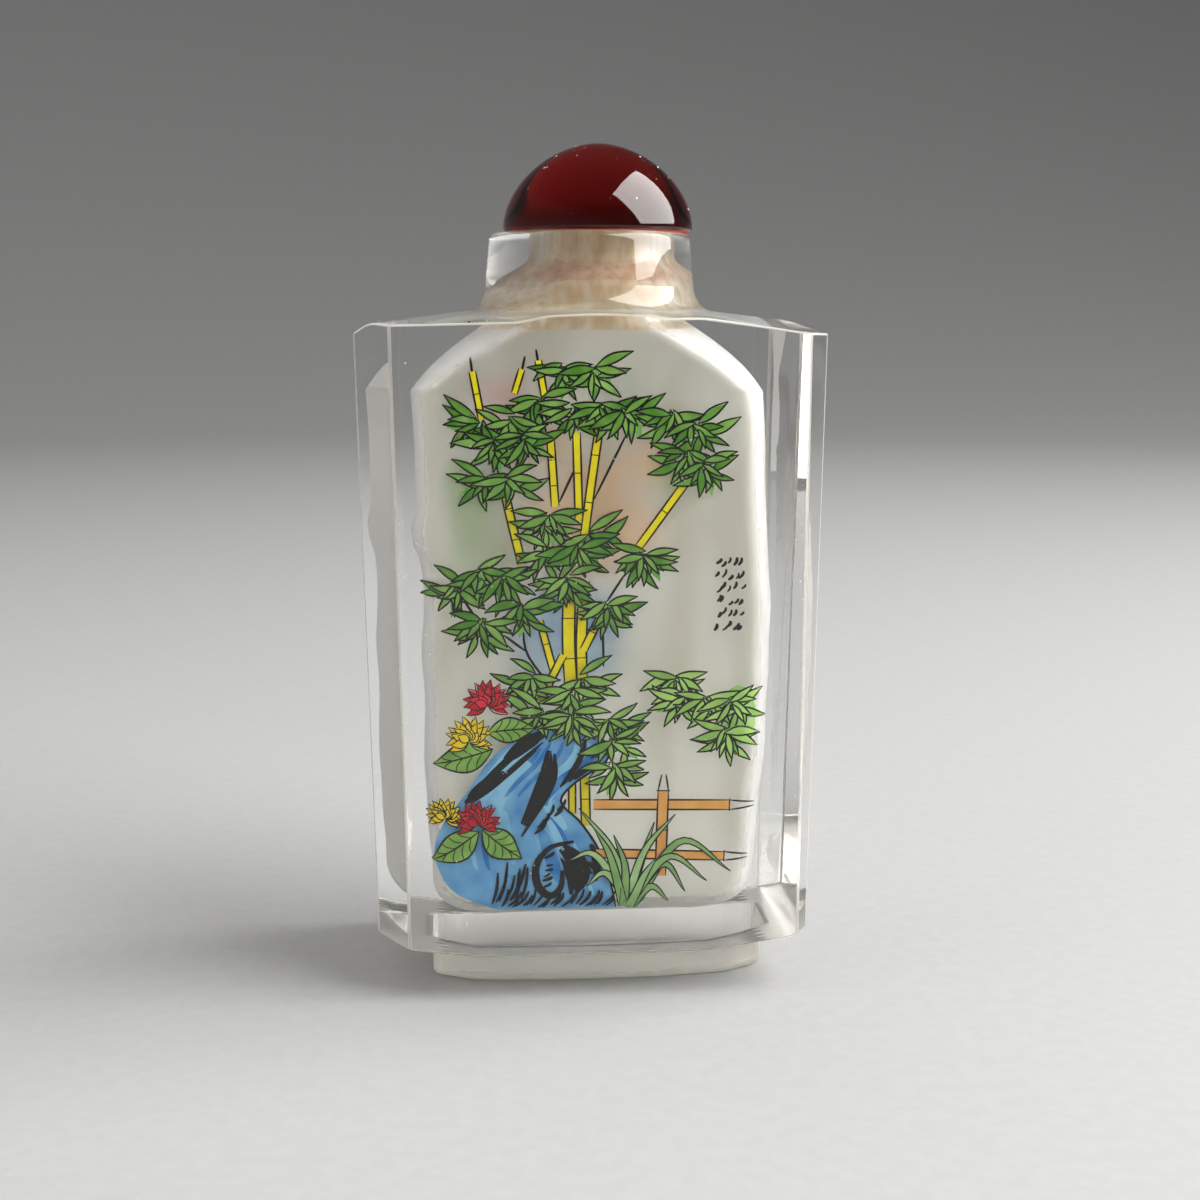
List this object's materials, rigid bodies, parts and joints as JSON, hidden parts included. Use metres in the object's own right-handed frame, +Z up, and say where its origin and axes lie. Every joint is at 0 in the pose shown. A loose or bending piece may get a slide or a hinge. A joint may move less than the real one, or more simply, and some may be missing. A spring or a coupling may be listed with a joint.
{
  "type": "snuff bottle",
  "caption": "Flat tapered clear-glass snuff bottle with bevelled edges, a low foot, a frosted hollow painted on its inner walls, and a red dome stopper on a cork.",
  "frame": {"origin": "middle of the foot's underside, at the middle of the body's width and depth", "axes": "+Z up along the height, the painted front faces -Y, +X to the viewer's right"},
  "size_m": [0.0432, 0.024, 0.08],
  "materials": {
    "clear_glass": "polished clear glass, frosted and painted inside",
    "red_glass": "polished deep red glass",
    "cork": "pale granular cork"
  },
  "bodies": {
    "root": {"bottle": "clear_glass", "stopper_dome": "red_glass", "stopper_cork": "cork"}
  },
  "joints": []
}
